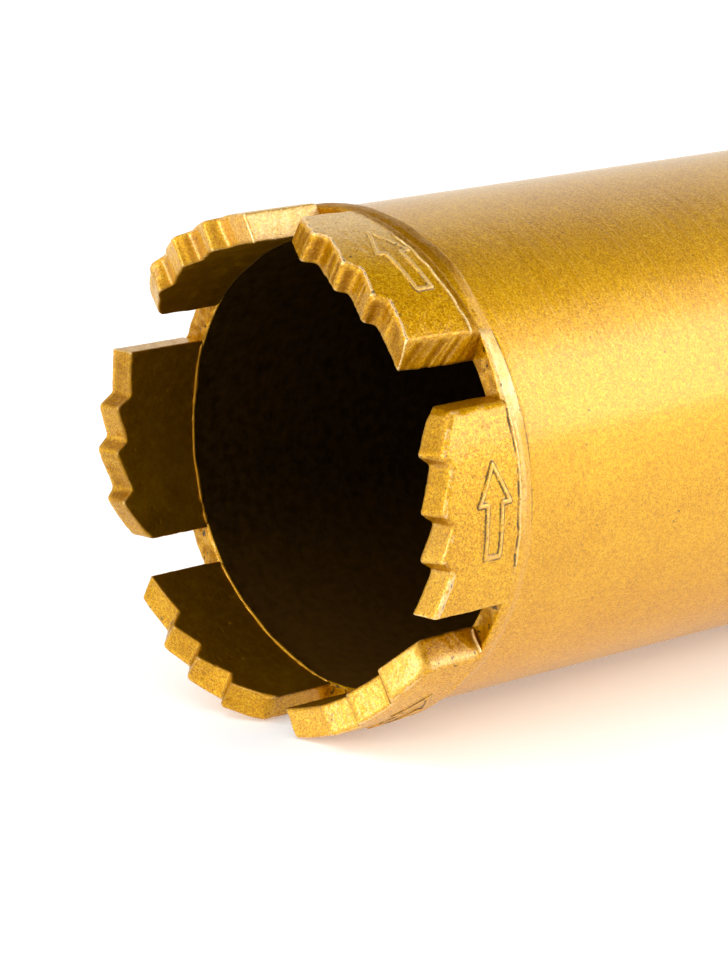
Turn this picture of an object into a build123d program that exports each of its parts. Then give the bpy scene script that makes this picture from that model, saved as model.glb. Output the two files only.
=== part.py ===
from build123d import *
import math
import os

# Diamond core bit, lying on a flat surface.
# X runs along the bit's axis: the cutting crown is at -X, the spindle end at +X.
# The surface that the bit lies on is Z = 0, and the origin is on that surface under
# the middle of the bit's length. Two neighbouring segments carry the crown end, each on
# one corner, with the gap between them facing straight down.

# ---- driving dimensions, mm ----
CUT_D = 63.5            # cutting diameter, over the segments' outer faces
TUBE_D = 61.2           # barrel outside diameter
RIM_BORE_D = 55.8       # barrel inside diameter
BAND_D = 62.7           # raised band round the barrel's crown end
BAND_W = 2.40           # its width along the axis
BAND_STEP = 0.55        # length of the sloping step behind it
RIM_CHAMFER = 0.40      # outer corner of the rim

SEG_N = 6
SEG_W = 24.0            # segment width, between its parallel end faces
SEG_T = 4.2             # segment thickness at its middle
SEG_IN_R = 33.0         # radius of the inner face, flatter than the outer one
# saw-toothed front edge of a segment: (place along the width, height above the rim)
TOOTH = [(-12.0, 11.20), (-6.20, 10.10), (-5.00, 11.90), (-0.75, 10.45),
         (0.75, 12.10), (5.95, 10.20), (7.15, 11.50), (12.0, 9.00)]
TOOTH_R = 0.35          # rounding of the tooth edges
SEG_H = 12.1            # greatest height
# how far each segment was welded from its even place round the rim, degrees
SEG_SHIFT = {1: -1.3, 2: 0.5, 3: -0.3, 4: 0.0, 5: 0.0, 6: 0.3}

TUBE_L = 150.0          # barrel length, rim to rear end
PLATE_T = 8.0           # back plate
PLATE_IN = 1.0          # back plate's rear face inside the barrel's rear end
SPIGOT_D = 36.0         # hub spigot in the back plate
HUB_D = 44.0            # hub outside the back plate
HUB_L = 32.0
FLAT_AF = 38.0          # width across the two spanner flats
FLAT_L = 18.0
THREAD_MINOR_D = 28.2   # 1-1/4 in - 7 UNC female thread, at its crests
THREAD_L = 34.0
WATER_D = 20.0          # water way through to the barrel
MOUTH_CH = 1.8          # chamfer at the thread's mouth

# ---- places ----
L_ALL = SEG_H + TUBE_L - PLATE_IN + HUB_L
X_TIP = -L_ALL / 2
X_RIM = X_TIP + SEG_H
X_END = X_RIM + TUBE_L
X_PLATE = X_END - PLATE_IN          # back plate's rear face
X_REAR = X_PLATE + HUB_L
R_OUT = CUT_D / 2
R_IN = R_OUT - SEG_T                # inner face at the segment's middle
# corner of a segment next to the gap, measured along the gap's centre line
HALF_SEG = math.degrees(math.asin(SEG_W / 2 / R_OUT))
HALF_GAP = 180.0 / SEG_N - HALF_SEG
AXIS_Z = R_OUT * math.cos(math.radians(HALF_GAP))

os.makedirs("parts", exist_ok=True)


def lathe(points):
    """Solid of revolution about the bit's axis, from (x, radius) points."""
    pts = [(x, r) for x, r in points]
    face = make_face(Polyline(*[(x, r, 0) for x, r in pts], close=True))
    solid = revolve(face, Axis.X, 360)
    return Pos(0, 0, AXIS_Z) * solid


def ring_angle(k):
    """Angle of segment k's middle. 0 is the -Y side, 90 is the top."""
    return 120.0 - 360.0 / SEG_N * (k - 1) + SEG_SHIFT[k]


# ---- barrel: tube with a low raised band at its crown end ----
rb, rt, ri = BAND_D / 2, TUBE_D / 2, RIM_BORE_D / 2
barrel = lathe([
    (X_RIM, ri), (X_RIM, rb - RIM_CHAMFER), (X_RIM + RIM_CHAMFER, rb),
    (X_RIM + BAND_W - BAND_STEP, rb), (X_RIM + BAND_W, rt),
    (X_END - 0.4, rt), (X_END, rt - 0.4), (X_END, ri)])

# ---- segments ----
def segment(k):
    # side view in (place along the width, height), then pushed through the thickness
    base = [(-SEG_W / 2, 0.0)] + TOOTH + [(SEG_W / 2, 0.0)]
    face = make_face(Polyline(*base, close=True))
    tips = [v for v in face.vertices() if v.Y > 1.0]
    face = fillet(tips, TOOTH_R)
    # sketch X is the width, sketch Y the height; the thickness is its normal
    blank = extrude(face, amount=12.0, both=True)
    # height -> -X, width -> tangent, normal -> radial; built for a segment at the top
    plane = Plane(origin=(X_RIM, 0, R_OUT - 2), x_dir=(0, 1, 0), z_dir=(0, 0, 1))
    # plane.y_dir is z_dir x x_dir = -X
    blank = plane * blank
    # the profile's plus width is the anticlockwise side as seen from the front: +Y at the top
    outer = Pos(X_RIM, 0, 0) * (Rot(0, 90, 0) * Cylinder(R_OUT, 60))
    inner = Pos(X_RIM, 0, R_IN - SEG_IN_R) * (Rot(0, 90, 0) * Cylinder(SEG_IN_R, 61))
    body = (blank & outer) - inner
    solid = body.solids().sort_by(Axis.Z)[-1]
    # from the top (90) to its own angle, about +X
    turn = ring_angle(k) - 90.0
    # positive angles go from -Y over the top to +Y, which is a negative turn about +X
    return Pos(0, 0, AXIS_Z) * (Rot(-turn, 0, 0) * solid)


nodes = {"barrel": barrel}
for k in range(1, SEG_N + 1):
    nodes["segment_%d" % k] = segment(k)

# ---- back plate: disc inside the barrel's rear end ----
nodes["back_plate"] = lathe([
    (X_PLATE - PLATE_T, SPIGOT_D / 2), (X_PLATE - PLATE_T, ri - 0.5),
    (X_PLATE - PLATE_T + 0.5, ri), (X_PLATE - 0.8, ri), (X_PLATE, ri - 0.8),
    (X_PLATE, SPIGOT_D / 2)])

# ---- hub: threaded adapter with a spigot in the back plate and two spanner flats ----
rm, rw = THREAD_MINOR_D / 2, WATER_D / 2
x_thread = X_REAR - THREAD_L
hub = lathe([
    (X_PLATE - PLATE_T, rw), (X_PLATE - PLATE_T, SPIGOT_D / 2), (X_PLATE, SPIGOT_D / 2),
    (X_PLATE, HUB_D / 2), (X_REAR - 1.0, HUB_D / 2), (X_REAR, HUB_D / 2 - 1.0),
    (X_REAR, rm + MOUTH_CH), (X_REAR - MOUTH_CH, rm), (x_thread, rm), (x_thread, rw)])
for side in (-1, 1):
    cut = Box(FLAT_L, 12, HUB_D + 4)
    hub = hub - Pos(X_REAR - FLAT_L / 2, side * (FLAT_AF / 2 + 6), AXIS_Z) * cut
nodes["hub"] = hub.solids()[0]

for name, solid in nodes.items():
    s = solid.solids()[0] if hasattr(solid, "solids") else solid
    s.label = name
    export_step(s, "parts/%s.step" % name)
    bb = s.bounding_box()
    print("%-12s vol %9.1f mm3  x %7.2f..%7.2f  y %7.2f..%7.2f  z %7.2f..%7.2f" % (
        name, s.volume, bb.min.X, bb.max.X, bb.min.Y, bb.max.Y, bb.min.Z, bb.max.Z))
print("length %.2f  axis height %.3f  half gap %.2f deg  tip x %.2f  rim x %.2f" % (
    L_ALL, AXIS_Z, HALF_GAP, X_TIP, X_RIM))
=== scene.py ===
import math

import bpy
import numpy as np
from mathutils import Matrix, Vector


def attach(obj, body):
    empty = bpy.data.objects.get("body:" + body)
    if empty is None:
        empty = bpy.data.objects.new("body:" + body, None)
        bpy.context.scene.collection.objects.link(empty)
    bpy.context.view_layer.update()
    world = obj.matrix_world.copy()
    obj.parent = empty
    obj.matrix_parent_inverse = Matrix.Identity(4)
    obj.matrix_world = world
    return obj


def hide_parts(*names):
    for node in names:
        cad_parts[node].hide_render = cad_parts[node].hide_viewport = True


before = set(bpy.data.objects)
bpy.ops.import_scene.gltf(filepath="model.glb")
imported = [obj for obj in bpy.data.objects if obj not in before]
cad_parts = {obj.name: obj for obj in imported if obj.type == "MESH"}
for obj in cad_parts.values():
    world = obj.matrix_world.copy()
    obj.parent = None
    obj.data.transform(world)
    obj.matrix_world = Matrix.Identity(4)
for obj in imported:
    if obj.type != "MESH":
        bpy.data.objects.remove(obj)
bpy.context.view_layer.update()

# ------------------------------------------------------------------ dimensions, mm
AXIS_Z = 31.457          # height of the bit's axis
X_RIM = -84.45           # plane of the barrel's rim
X_END = 65.55            # barrel's rear end
X_PLATE = 64.55          # back plate's rear face
X_REAR = 96.55           # hub's rear face
R_CUT = 31.75            # segments' outer face
R_TUBE = 30.60
R_BORE = 27.90
SEG_IN_R = 33.0
SEG_IN_OFF = R_CUT - 4.2 - SEG_IN_R
SHIFT = {1: -1.3, 2: 0.5, 3: -0.3, 4: 0.0, 5: 0.0, 6: 0.3}
MM = 0.001


def ring_angle(k):
    """Middle of segment k: 0 is the -Y side, 90 the top, as in the CAD."""
    return 120.0 - 60.0 * (k - 1) + SHIFT[k]


# ------------------------------------------------------------------ numpy helpers
_tables = {}


def vnoise(P, scale, seed):
    """Smooth value noise from -1 to 1. P in mm, one cell per `scale` mm."""
    if seed not in _tables:
        _tables[seed] = np.random.default_rng(seed).uniform(-1, 1, (32, 32, 32)).astype(np.float32)
    T = _tables[seed]
    q = P / np.asarray(scale, np.float32)
    i = np.floor(q).astype(np.int32)
    f = (q - i).astype(np.float32)
    f = f * f * (3 - 2 * f)
    i &= 31
    j = (i + 1) & 31
    x0, y0, z0 = i[..., 0], i[..., 1], i[..., 2]
    x1, y1, z1 = j[..., 0], j[..., 1], j[..., 2]
    fx, fy, fz = f[..., 0], f[..., 1], f[..., 2]
    a = T[x0, y0, z0] * (1 - fx) + T[x1, y0, z0] * fx
    b = T[x0, y1, z0] * (1 - fx) + T[x1, y1, z0] * fx
    c = T[x0, y0, z1] * (1 - fx) + T[x1, y0, z1] * fx
    d = T[x0, y1, z1] * (1 - fx) + T[x1, y1, z1] * fx
    return (a * (1 - fy) + b * fy) * (1 - fz) + (c * (1 - fy) + d * fy) * fz


def sstep(x, a, b):
    t = np.clip((x - a) / (b - a), 0, 1)
    return t * t * (3 - 2 * t)


def rmax(a, b, r):
    """Intersection of two distance fields with a rounded edge of radius r."""
    u = np.maximum(r + a, 0)
    v = np.maximum(r + b, 0)
    return np.minimum(-r, np.maximum(a, b)) + np.hypot(u, v)


def poly_sd(px, py, pts):
    """Signed distance to a closed 2-D polygon, negative inside."""
    d2 = np.full(np.broadcast(px, py).shape, 1e9, np.float32)
    inside = np.zeros(d2.shape, bool)
    n = len(pts)
    for i in range(n):
        x0, y0 = pts[i]
        x1, y1 = pts[(i + 1) % n]
        ex, ey = x1 - x0, y1 - y0
        t = np.clip(((px - x0) * ex + (py - y0) * ey) / (ex * ex + ey * ey), 0, 1)
        d2 = np.minimum(d2, (px - x0 - t * ex) ** 2 + (py - y0 - t * ey) ** 2)
        if y0 != y1:
            cross = ((y0 > py) != (y1 > py)) & (px < (x1 - x0) * (py - y0) / (y1 - y0) + x0)
            inside ^= cross
    return np.where(inside, -1, 1) * np.sqrt(d2)


def blur(F, sigma, axis):
    """Gaussian along one axis; sigma in cells."""
    n = max(1, int(math.ceil(3 * sigma)))
    k = np.exp(-0.5 * (np.arange(-n, n + 1) / sigma) ** 2)
    k /= k.sum()
    pad = [(0, 0)] * F.ndim
    pad[axis] = (n, n)
    G = np.pad(F, pad, mode="reflect", reflect_type="odd")
    out = np.zeros_like(F)
    for i, w in enumerate(k):
        sl = [slice(None)] * F.ndim
        sl[axis] = slice(i, i + F.shape[axis])
        out += w * G[tuple(sl)]
    return out


def sample(F, p):
    """Trilinear value of grid F at points p, in cells."""
    hi = np.array(F.shape) - 2
    i = np.clip(np.floor(p).astype(np.int32), 0, hi)
    f = np.clip(p - i, 0, 1).astype(np.float32)
    out = 0
    for a in (0, 1):
        wa = f[:, 0] if a else 1 - f[:, 0]
        for b in (0, 1):
            wb = f[:, 1] if b else 1 - f[:, 1]
            for c in (0, 1):
                wc = f[:, 2] if c else 1 - f[:, 2]
                out = out + wa * wb * wc * F[i[:, 0] + a, i[:, 1] + b, i[:, 2] + c]
    return out


def surface_nets(F):
    """Closed quad mesh of F = 0, in cells. F is negative inside and positive at the grid's edge."""
    nx, ny, nz = F.shape
    neg = F < 0
    cnt = np.zeros((nx - 1, ny - 1, nz - 1), np.int8)
    for a in (0, 1):
        for b in (0, 1):
            for c in (0, 1):
                cnt += neg[a:nx - 1 + a, b:ny - 1 + b, c:nz - 1 + c]
    act = (cnt > 0) & (cnt < 8)
    ids = np.full(act.shape, -1, np.int32)
    I = np.argwhere(act)
    ids[act] = np.arange(len(I))
    pos = np.zeros((len(I), 3))
    w = np.zeros(len(I))
    corners = [(a, b, c) for a in (0, 1) for b in (0, 1) for c in (0, 1)]
    for c0 in corners:
        for c1 in corners:
            if sum(abs(p - q) for p, q in zip(c0, c1)) != 1 or c0 > c1:
                continue
            v0 = F[I[:, 0] + c0[0], I[:, 1] + c0[1], I[:, 2] + c0[2]]
            v1 = F[I[:, 0] + c1[0], I[:, 1] + c1[1], I[:, 2] + c1[2]]
            m = (v0 < 0) != (v1 < 0)
            t = v0[m] / (v0[m] - v1[m])
            pos[m] += np.array(c0) + t[:, None] * (np.array(c1) - np.array(c0))
            w[m] += 1
    pos = I + pos / w[:, None]
    quads = []
    for ax in range(3):
        o1, o2 = (ax + 1) % 3, (ax + 2) % 3
        lo = [slice(None)] * 3
        hi = [slice(None)] * 3
        lo[ax] = slice(0, F.shape[ax] - 1)
        hi[ax] = slice(1, F.shape[ax])
        a, b = neg[tuple(lo)], neg[tuple(hi)]
        E = np.argwhere(a != b)
        E = E[(E[:, o1] > 0) & (E[:, o2] > 0) & (E[:, o1] < F.shape[o1] - 1) & (E[:, o2] < F.shape[o2] - 1)]
        up = a[E[:, 0], E[:, 1], E[:, 2]]
        q = []
        for d1, d2 in ((-1, -1), (0, -1), (0, 0), (-1, 0)):
            c = E.copy()
            c[:, o1] += d1
            c[:, o2] += d2
            q.append(ids[c[:, 0], c[:, 1], c[:, 2]])
        q = np.stack(q, 1)
        q[~up] = q[~up][:, ::-1]
        quads.append(q)
    return pos, np.concatenate(quads)


def face_normals(V, Q):
    return np.cross(V[Q[:, 2]] - V[Q[:, 0]], V[Q[:, 3]] - V[Q[:, 1]])


def outward(V, Q):
    """Quads turned so that the closed mesh's volume is positive."""
    n = face_normals(V, Q)
    c = V[Q].mean(1) - V.mean(0)
    return Q if (n * c).sum() > 0 else Q[:, ::-1]


def convexity(V, Q, rounds=3):
    """Signed bend of the surface at each vertex, 1/mm: over 0 on edges, under 0 in corners."""
    fn = face_normals(V, Q)
    N = np.zeros_like(V)
    for i in range(4):
        np.add.at(N, Q[:, i], fn)
    N /= np.linalg.norm(N, axis=1)[:, None] + 1e-12
    E = np.concatenate([Q[:, [0, 1]], Q[:, [1, 2]], Q[:, [2, 3]], Q[:, [3, 0]]])
    E.sort(axis=1)
    E = np.unique(E, axis=0)
    d = V[E[:, 0]] - V[E[:, 1]]
    L2 = (d * d).sum(1) + 1e-9
    k0 = (N[E[:, 0]] * d).sum(1) / L2
    k1 = -(N[E[:, 1]] * d).sum(1) / L2
    n = len(V)
    deg = np.bincount(E.ravel(), minlength=n) + 1e-9
    K = (np.bincount(E[:, 0], k0, n) + np.bincount(E[:, 1], k1, n)) / deg * 2
    K = np.clip(K, -6, 6)
    for _ in range(rounds):
        S = np.bincount(E[:, 0], K[E[:, 1]], n) + np.bincount(E[:, 1], K[E[:, 0]], n)
        K = 0.4 * K + 0.6 * S / deg
    return K


def add_mesh(name, V, Q, mat, replaces=None, attrs=None, smooth=True):
    """Mesh object from mm vertices and quads, riding on the root body."""
    Q = outward(V, Q)
    me = bpy.data.meshes.new(name)
    me.vertices.add(len(V))
    me.vertices.foreach_set("co", (V * MM).astype(np.float32).ravel())
    me.loops.add(Q.size)
    me.loops.foreach_set("vertex_index", Q.astype(np.int32).ravel())
    me.polygons.add(len(Q))
    me.polygons.foreach_set("loop_start", np.arange(0, Q.size, 4, dtype=np.int32))
    me.update(calc_edges=True)
    me.polygons.foreach_set("use_smooth", np.full(len(Q), smooth))
    for key, val in (attrs or {}).items():
        a = me.attributes.new(key, "FLOAT", "POINT")
        a.data.foreach_set("value", np.asarray(val, np.float32))
    me.materials.append(mat)
    me.update()
    ob = bpy.data.objects.new(name, me)
    bpy.context.scene.collection.objects.link(ob)
    if replaces:
        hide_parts(replaces)
    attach(ob, "root")
    return ob


# ------------------------------------------------------------------ node helpers
class Graph:
    def __init__(self, tree):
        self.t = tree
        self.t.nodes.clear()

    def put(self, sock, val):
        if val is None:
            return
        if isinstance(val, bpy.types.NodeSocket):
            self.t.links.new(val, sock)
        elif hasattr(sock, "default_value"):
            sock.default_value = val

    def node(self, kind, props=None, **ins):
        n = self.t.nodes.new(kind)
        for k, v in (props or {}).items():
            setattr(n, k, v)
        for k, v in ins.items():
            key = int(k[1:]) if k[0] == "i" and k[1:].isdigit() else k.replace("_", " ")
            self.put(n.inputs[key], v)
        return n

    def math(self, op, a, b=None, clamp=False):
        return self.node("ShaderNodeMath", {"operation": op, "use_clamp": clamp}, i0=a, i1=b).outputs[0]

    def vmath(self, op, a, b=None, scale=None):
        n = self.node("ShaderNodeVectorMath", {"operation": op}, i0=a, i1=b)
        if scale is not None:
            self.put(n.inputs["Scale"], scale)
        return n.outputs["Vector"]

    def mad(self, a, mul, add):
        return self.node("ShaderNodeMath", {"operation": "MULTIPLY_ADD"}, i0=a, i1=mul, i2=add).outputs[0]

    def step(self, v, lo, hi, to0=0.0, to1=1.0):
        n = self.node("ShaderNodeMapRange", {"interpolation_type": "SMOOTHSTEP"})
        for i, x in enumerate((v, lo, hi, to0, to1)):
            self.put(n.inputs[i], x)
        return n.outputs[0]

    def mix(self, f, a, b, mode="MIX"):
        n = self.t.nodes.new("ShaderNodeMix")
        n.data_type = "RGBA"
        n.blend_type = mode
        n.clamp_factor = True
        self.put(n.inputs[0], f)
        self.put(n.inputs[6], a)
        self.put(n.inputs[7], b)
        return n.outputs[2]

    def mixf(self, f, a, b):
        n = self.t.nodes.new("ShaderNodeMix")
        n.data_type = "FLOAT"
        n.clamp_factor = True
        self.put(n.inputs[0], f)
        self.put(n.inputs[2], a)
        self.put(n.inputs[3], b)
        return n.outputs[0]

    def attr(self, name):
        return self.node("ShaderNodeAttribute", {"attribute_name": name}).outputs["Fac"]

    def noise(self, vec, scale, detail=2.0, rough=0.5, dist=0.0):
        n = self.node("ShaderNodeTexNoise", {"noise_dimensions": "3D"}, Vector=vec)
        n.inputs["Scale"].default_value = scale
        n.inputs["Detail"].default_value = detail
        n.inputs["Roughness"].default_value = rough
        n.inputs["Distortion"].default_value = dist
        return n.outputs[0]

    def ramp(self, f, stops):
        n = self.node("ShaderNodeValToRGB", None, Fac=f)
        el = n.color_ramp.elements
        while len(el) < len(stops):
            el.new(0.5)
        for e, (p, c) in zip(el, stops):
            e.position = p
            e.color = (*c, 1.0)
        return n.outputs[0]


def gold_paint(name, grain=1.0, cast=0.0, turned=0.0):
    """Metallic gold paint. grain: flake size in 0.17 mm; cast: grit of the sintered segments;
    turned: fine rings round the bit's axis."""
    m = bpy.data.materials.new(name)
    m.use_nodes = True
    g = Graph(m.node_tree)
    out = g.node("ShaderNodeOutputMaterial")
    bs = g.node("ShaderNodeBsdfPrincipled")
    g.put(out.inputs["Surface"], bs.outputs[0])
    co = g.node("ShaderNodeTexCoord").outputs["Object"]
    P = g.vmath("SCALE", co, None, 1000.0)                       # mm

    # flakes: each cell leans its own way and has its own lightness
    cells = g.node("ShaderNodeTexVoronoi", {"voronoi_dimensions": "3D", "feature": "F1"},
                   Vector=P, Scale=1.0 / (0.165 * grain))
    cell = cells.outputs["Color"]
    sep = g.node("ShaderNodeSeparateColor", None, Color=cell)
    big = g.noise(P, 0.09, 3.0, 0.55)
    mid = g.noise(P, 0.75, 3.0, 0.6)
    fine = g.noise(P, 3.2, 2.0, 0.6)

    tone = g.mad(big, 0.26, 0.37)
    tone = g.math("ADD", tone, g.mad(mid, 0.20 - 0.02 * cast, -0.10 + 0.01 * cast))
    tone = g.math("ADD", tone, g.mad(fine, 0.32 + 0.10 * cast, -0.16 - 0.05 * cast))
    tone = g.math("ADD", tone, g.mad(sep.outputs[0], 0.42 + 0.12 * cast, -0.21 - 0.06 * cast))
    col = g.ramp(tone, [(0.05, (0.35, 0.138, 0.001)), (0.40, (0.63, 0.308, 0.001)),
                        (0.62, (0.76, 0.415, 0.002)), (0.98, (0.92, 0.660, 0.040))])

    # deeper orange: painted shade on the tooth faces, their steep sides and the rim's end face, and a deeper paint tone
    # on the band behind the burr line
    deep_tone_and_shade = g.math("MULTIPLY", g.attr("deep_tone_and_shade"), g.mad(mid, 1.1, 0.45), clamp=True)
    col = g.mix(deep_tone_and_shade, col, g.mix(1.0, col, (0.50, 0.40, 0.25, 1), "MULTIPLY"))
    # pale paint and painted highlight: raised lines, the turned strip and the tooth faces that face the light are made
    # paler
    pale_paint_and_highlight = g.math("MULTIPLY", g.attr("pale_paint_and_highlight"), g.mad(fine, 1.4, 0.0), clamp=True)
    col = g.mix(pale_paint_and_highlight, col, (1.0, 0.80, 0.42, 1))

    cvx = g.attr("cvx")
    # painted shade darkens the crevices; crisp edges are burnished and lightened, partly a painted highlight
    gritv = g.mad(fine, 0.9, -0.45)
    crevice_shade = g.step(g.math("ADD", g.math("MULTIPLY", cvx, -1.0), g.math("MULTIPLY", gritv, 1.1)), 0.75, 2.6)
    edge = g.step(g.math("ADD", cvx, gritv), 1.15, 2.6)
    col = g.mix(g.math("MULTIPLY", crevice_shade, 0.72), col, (0.10, 0.055, 0.012, 1))
    col = g.mix(g.math("MULTIPLY", edge, 0.62), col, (1.0, 0.80, 0.40, 1))

    # dark lines: seams and specks, and painted shade along creases, valleys, steps and the foot of raised lines
    ink_and_crease_shade = g.step(g.math("ADD", g.attr("ink_and_crease_shade"), g.mad(fine, 0.7, -0.35)), 0.30, 0.62)
    col = g.mix(g.math("MULTIPLY", ink_and_crease_shade, 0.85), col, (0.060, 0.030, 0.006, 1))

    # grey metal showing through along the worn tooth edges
    wear = g.attr("wear")
    wn = g.math("ADD", wear, g.mad(mid, 0.9, -0.45))
    wn = g.math("ADD", wn, g.mad(fine, 0.7, -0.35))
    wmask = g.step(wn, 0.52, 0.72)
    col = g.mix(wmask, col, g.ramp(fine, [(0.35, (0.075, 0.055, 0.036)), (0.62, (0.34, 0.27, 0.19))]))
    # pale, pinkish rubbed zone beside it
    rub = g.step(wn, 0.22, 0.50)
    rub = g.math("MULTIPLY", rub, g.math("SUBTRACT", 1.0, wmask))
    col = g.mix(g.math("MULTIPLY", rub, 0.62), col, (1.0, 0.74, 0.42, 1))

    # tiny dark specks and chips
    sp = g.noise(P, 1.15, 1.0, 0.5)
    spk = g.step(sp, 0.775 - 0.035 * cast, 0.80 - 0.03 * cast)
    col = g.mix(g.math("MULTIPLY", spk, 0.75), col, (0.13, 0.08, 0.03, 1))

    # painted shade on the faces turned to the bore, which lie in its shadow
    dim = g.attr("dim")
    dn = g.math("MULTIPLY", dim, g.mad(mid, 0.5, 0.75), clamp=True)
    col = g.mix(dn, col, g.ramp(g.math("ADD", g.mad(mid, 0.7, 0.15), g.mad(fine, 0.3, -0.15)),
                                [(0.2, (0.12, 0.045, 0.001)), (0.5, (0.29, 0.125, 0.002)), (0.85, (0.48, 0.245, 0.006))]))
    # bare, dark steel inside the barrel
    bore = g.attr("bore")
    bn = g.step(g.math("ADD", bore, g.mad(mid, 0.5, -0.25)), 0.35, 0.62)
    dark = g.ramp(mid, [(0.3, (0.024, 0.0105, 0.0010)), (0.7, (0.072, 0.0340, 0.0030))])
    # lighter, browner colour along the bottom of it
    zz = g.node("ShaderNodeSeparateXYZ", None, Vector=P).outputs[2]
    low = g.math("MULTIPLY", g.step(zz, 24.0, 3.0), g.mad(mid, 0.9, 0.35), clamp=True)
    dark = g.mix(low, dark, (0.190, 0.085, 0.010, 1))
    col = g.mix(bn, col, dark)
    # bare threads
    thr = g.attr("thr")
    tn = g.step(g.math("ADD", thr, g.mad(mid, 0.4, -0.2)), 0.4, 0.6)
    col = g.mix(tn, col, g.ramp(g.noise(P, 2.0, 2.0, 0.5), [(0.35, (0.22, 0.20, 0.18)), (0.65, (0.44, 0.42, 0.39))]))
    g.put(bs.inputs["Base Color"], col)

    met = g.mixf(crevice_shade, 1.0, 0.35)
    met = g.mixf(bn, met, 0.90)
    g.put(bs.inputs["Metallic"], met)

    ro = g.mad(mid, 0.14, 0.50 + 0.02 * cast)
    ro = g.math("ADD", ro, g.mad(sep.outputs[2], 0.10, -0.05))
    ro = g.mixf(edge, ro, 0.34)
    ro = g.mixf(wmask, ro, 0.42)
    ro = g.mixf(bn, ro, 0.62)
    ro = g.mixf(dn, ro, 0.52)
    ro = g.mixf(crevice_shade, ro, 0.6)
    g.put(bs.inputs["Roughness"], ro)

    # relief: orange peel, grit, rings, then the flakes' own lean
    h = g.mad(fine, 0.60 + 0.60 * cast, 0.0)
    h = g.math("ADD", h, g.math("MULTIPLY", mid, 0.9))
    if turned:
        st = g.node("ShaderNodeMapping", None, Vector=P)
        st.inputs["Scale"].default_value = (5.0, 0.10, 0.10)
        rings = g.noise(st.outputs[0], 1.0, 3.0, 0.65)
        st2 = g.node("ShaderNodeMapping", None, Vector=P)
        st2.inputs["Scale"].default_value = (1.1, 0.03, 0.03)
        rings2 = g.noise(st2.outputs[0], 1.0, 2.0, 0.5)
        h = g.math("ADD", h, g.math("MULTIPLY", rings, 1.2 * turned))
        h = g.math("ADD", h, g.math("MULTIPLY", rings2, 2.6 * turned))
    bump = g.node("ShaderNodeBump", None, Height=h)
    bump.inputs["Strength"].default_value = 1.0
    bump.inputs["Distance"].default_value = 0.000018
    lean = g.vmath("SUBTRACT", cell, (0.5, 0.5, 0.5))
    calm = g.math("MAXIMUM", dn, bn)
    dull = g.math("MAXIMUM", calm, g.math("MULTIPLY", deep_tone_and_shade, 0.95))
    lean = g.vmath("SCALE", lean, None, g.mixf(calm, 0.18 + 0.02 * cast, 0.07))
    nn = g.vmath("NORMALIZE", g.vmath("ADD", bump.outputs[0], lean))
    g.put(bs.inputs["Normal"], nn)
    g.put(bs.inputs["Coat Normal"], bump.outputs[0])
    g.put(bs.inputs["Coat Weight"], g.mixf(bn, g.mixf(dull, 0.86 - 0.10 * cast, 0.12), 0.0))
    bs.inputs["Coat Roughness"].default_value = 0.16
    bs.inputs["Coat IOR"].default_value = 1.5
    bs.inputs["Specular Tint"].default_value = (1.0, 0.88, 0.55, 1.0)
    return m


M_TUBE = gold_paint("gold_paint_tube", 1.0, 0.0, 1.0)
M_SEG = gold_paint("gold_paint_segment", 1.05, 1.0, 0.0)

# ------------------------------------------------------------------ segments
# (place along the width, height) of the tooth faces: one line at the outer face, one at the inner
BASE_O = [(-12, 11.45), (-6.30, 10.35), (-5.00, 12.15), (-0.80, 10.70), (0.75, 12.35), (5.85, 10.50), (7.10, 11.80), (12, 9.15)]
BASE_I = [(-12, 11.45), (-6.40, 10.30), (-5.10, 12.20), (-0.75, 10.55), (0.60, 12.38), (5.75, 10.40), (6.90, 12.05), (12, 9.05)]
TEETH = {
    1: (BASE_O, BASE_I),
    2: ([(-12, 11.45), (-6.25, 10.40), (-5.20, 12.20), (-0.85, 10.75), (0.85, 12.38), (5.85, 10.15), (7.50, 11.35), (12, 9.00)],
        [(-12, 11.50), (-5.95, 10.55), (-5.35, 12.30), (-0.50, 10.75), (0.25, 12.40), (5.95, 10.45), (7.00, 12.05), (12, 8.95)]),
    3: ([(-12, 11.65), (-6.31, 10.40), (-4.85, 12.20), (-0.92, 10.85), (0.95, 12.40), (5.98, 10.55), (7.40, 11.60), (12, 9.20)],
        [(-12, 11.80), (-6.55, 10.25), (-5.30, 12.25), (-0.94, 10.50), (0.35, 12.45), (5.65, 10.50), (6.95, 12.25), (12, 9.15)]),
    4: ([(-12, 11.40), (-6.24, 10.50), (-5.10, 12.10), (-1.10, 10.55), (0.70, 12.30), (5.60, 10.50), (6.75, 11.65), (12, 8.95)],
        [(-12, 11.35), (-6.30, 10.40), (-5.20, 12.15), (-1.05, 10.60), (0.50, 12.35), (5.70, 10.60), (7.20, 12.20), (12, 8.85)]),
    5: ([(-12, 11.15), (-7.00, 10.00), (-5.05, 12.00), (-1.22, 10.60), (0.58, 12.20), (5.75, 10.65), (6.85, 11.85), (12, 9.35)],
        [(-12, 11.15), (-6.45, 9.95), (-4.75, 12.12), (-1.03, 10.20), (0.84, 12.32), (5.20, 10.00), (6.90, 11.55), (12, 8.95)]),
    6: ([(-12, 11.35), (-6.25, 10.30), (-4.78, 12.20), (-0.70, 10.80), (0.76, 12.38), (5.91, 10.65), (7.08, 11.85), (12, 9.25)],
        [(-12, 11.40), (-6.12, 10.30), (-4.95, 12.40), (-0.42, 10.59), (0.88, 12.42), (5.78, 10.40), (7.05, 12.25), (12, 9.10)]),
}
CCW_R = {1: 0.5, 2: 0.45, 3: 0.85, 4: 0.5, 5: 0.45, 6: 0.5}
CW_R = {1: 0.3, 2: 0.22, 3: 0.3, 4: 0.3, 5: 0.3, 6: 0.3}
# plain arrow for the direction of turning, in (place along the width, height)
ARROW = [(-5.5, 3.25), (0.9, 3.25), (0.9, 1.95), (5.6, 4.45), (0.9, 6.95), (0.9, 5.65), (-5.5, 5.65)]


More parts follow.
